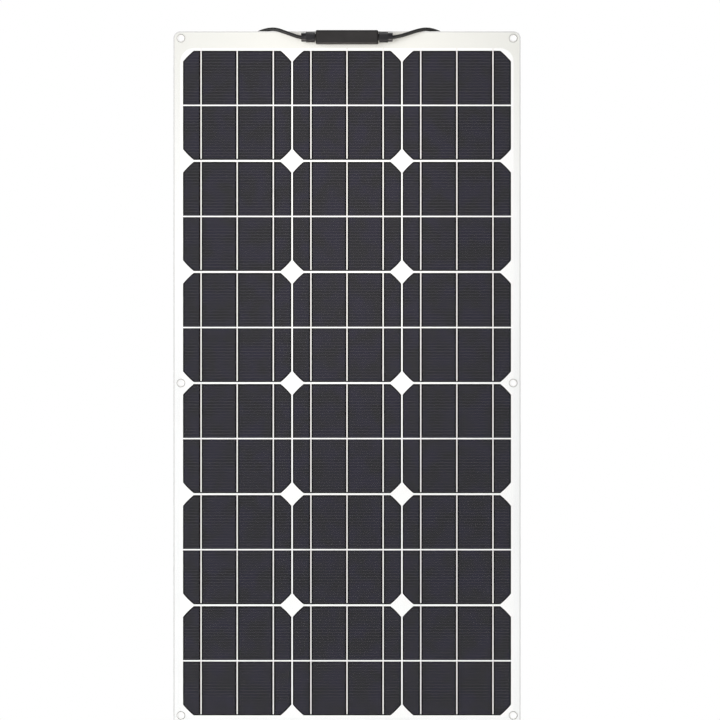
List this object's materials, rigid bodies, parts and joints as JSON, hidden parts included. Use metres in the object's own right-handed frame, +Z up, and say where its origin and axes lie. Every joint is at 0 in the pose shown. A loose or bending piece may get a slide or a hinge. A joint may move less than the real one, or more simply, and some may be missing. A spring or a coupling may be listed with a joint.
{
  "type": "flexible solar sheet",
  "caption": "Thin bendable solar sheet with half-cut dark cells on a white laminate, eyelets along its sides, a slim junction box and two leads.",
  "frame": {"origin": "midway between the two top eyelets, on the back face of the sheet", "axes": "+X across the sheet, +Z up along its length, -Y out of the cell side, +Y out of the back"},
  "size_m": [0.5, 0.0381, 1.0057],
  "materials": {
    "front_film": "clear film with a soft gloss",
    "encapsulant": "clear cured encapsulant",
    "solar_cell": "dark blue-grey silicon under film",
    "tinned_ribbon": "bright tinned copper",
    "backsheet": "white, slightly satin",
    "bus_cover": "white insulating film",
    "eyelet": "pressed and polished",
    "adhesive": "foam-backed adhesive pad",
    "box_plastic": "moulded, fine texture",
    "seal_rubber": "matt",
    "terminal_brass": "plain",
    "diode_case": "moulded epoxy",
    "lead_sheath": "smooth satin cable sheath",
    "gland_plastic": "moulded",
    "tie_plastic": "nylon",
    "connector_plastic": "moulded",
    "contact_metal": "tinned copper"
  },
  "bodies": {
    "strip_1": {"front_film_1": "front_film", "encapsulant_1": "encapsulant", "cells_1": "solar_cell", "ribbons_1": "tinned_ribbon", "backsheet_1": "backsheet", "top_bus_cover": "bus_cover", "top_eyelets": "eyelet", "box_pad": "adhesive", "box_base": "box_plastic", "box_gasket": "seal_rubber", "terminals": "terminal_brass", "bypass_diode": "diode_case", "lead_ends": "lead_sheath", "gland_seals": "seal_rubber", "left_lead": "lead_sheath", "right_lead": "lead_sheath", "left_coil": "lead_sheath", "right_coil": "lead_sheath", "coil_ties": "tie_plastic", "plug_body": "connector_plastic", "socket_body": "connector_plastic", "connector_contacts": "contact_metal"},
    "strip_2": {"front_film_2": "front_film", "encapsulant_2": "encapsulant", "cells_2": "solar_cell", "ribbons_2": "tinned_ribbon", "backsheet_2": "backsheet"},
    "strip_3": {"front_film_3": "front_film", "encapsulant_3": "encapsulant", "cells_3": "solar_cell", "ribbons_3": "tinned_ribbon", "backsheet_3": "backsheet"},
    "strip_4": {"front_film_4": "front_film", "encapsulant_4": "encapsulant", "cells_4": "solar_cell", "ribbons_4": "tinned_ribbon", "backsheet_4": "backsheet", "middle_eyelets": "eyelet"},
    "strip_5": {"front_film_5": "front_film", "encapsulant_5": "encapsulant", "cells_5": "solar_cell", "ribbons_5": "tinned_ribbon", "backsheet_5": "backsheet"},
    "strip_6": {"front_film_6": "front_film", "encapsulant_6": "encapsulant", "cells_6": "solar_cell", "ribbons_6": "tinned_ribbon", "backsheet_6": "backsheet"},
    "strip_7": {"front_film_7": "front_film", "encapsulant_7": "encapsulant", "cells_7": "solar_cell", "ribbons_7": "tinned_ribbon", "backsheet_7": "backsheet", "bottom_bus_cover": "bus_cover", "bottom_eyelets": "eyelet"},
    "lid": {"box_lid": "box_plastic"},
    "left_nut": {"left_gland_nut": "gland_plastic"},
    "right_nut": {"right_gland_nut": "gland_plastic"},
    "plug_cap": {"plug_nut": "connector_plastic"},
    "socket_cap": {"socket_nut": "connector_plastic"}
  },
  "joints": [
    {"name": "bend_1", "type": "hinge", "parent": "strip_1", "child": "strip_2", "pos_m": [0, -0.00125, -0.0966], "axis": [1, 0, 0], "range_deg": [-5, 5], "stiffness_Nm_per_rad": 6},
    {"name": "bend_2", "type": "hinge", "parent": "strip_2", "child": "strip_3", "pos_m": [0, -0.00125, -0.2566], "axis": [1, 0, 0], "range_deg": [-5, 5], "stiffness_Nm_per_rad": 6},
    {"name": "bend_3", "type": "hinge", "parent": "strip_3", "child": "strip_4", "pos_m": [0, -0.00125, -0.4166], "axis": [1, 0, 0], "range_deg": [-5, 5], "stiffness_Nm_per_rad": 6},
    {"name": "bend_4", "type": "hinge", "parent": "strip_4", "child": "strip_5", "pos_m": [0, -0.00125, -0.5766], "axis": [1, 0, 0], "range_deg": [-5, 5], "stiffness_Nm_per_rad": 6},
    {"name": "bend_5", "type": "hinge", "parent": "strip_5", "child": "strip_6", "pos_m": [0, -0.00125, -0.7366], "axis": [1, 0, 0], "range_deg": [-5, 5], "stiffness_Nm_per_rad": 6},
    {"name": "bend_6", "type": "hinge", "parent": "strip_6", "child": "strip_7", "pos_m": [0, -0.00125, -0.8966], "axis": [1, 0, 0], "range_deg": [-5, 5], "stiffness_Nm_per_rad": 6},
    {"name": "lid_lift", "type": "slide", "parent": "strip_1", "child": "lid", "axis": [0, -1, 0], "range_m": [0, 0.014]},
    {"name": "left_nut_turn", "type": "hinge", "parent": "strip_1", "child": "left_nut", "pos_m": [-0.055, -0.0104, 0.001], "axis": [-1, 0, 0], "continuous": true},
    {"name": "right_nut_turn", "type": "hinge", "parent": "strip_1", "child": "right_nut", "pos_m": [0.055, -0.0104, 0.001], "axis": [1, 0, 0], "continuous": true},
    {"name": "plug_cap_turn", "type": "hinge", "parent": "strip_1", "child": "plug_cap", "pos_m": [0.149, 0.0105, -0.065], "axis": [0, 0, 1], "continuous": true},
    {"name": "socket_cap_turn", "type": "hinge", "parent": "strip_1", "child": "socket_cap", "pos_m": [-0.143, 0.0105, -0.065], "axis": [0, 0, 1], "continuous": true}
  ],
  "couplings": [
    {"joint": "bend_2", "follows": "bend_1", "ratio": 1},
    {"joint": "bend_3", "follows": "bend_1", "ratio": 1},
    {"joint": "bend_4", "follows": "bend_1", "ratio": 1},
    {"joint": "bend_5", "follows": "bend_1", "ratio": 1},
    {"joint": "bend_6", "follows": "bend_1", "ratio": 1}
  ]
}
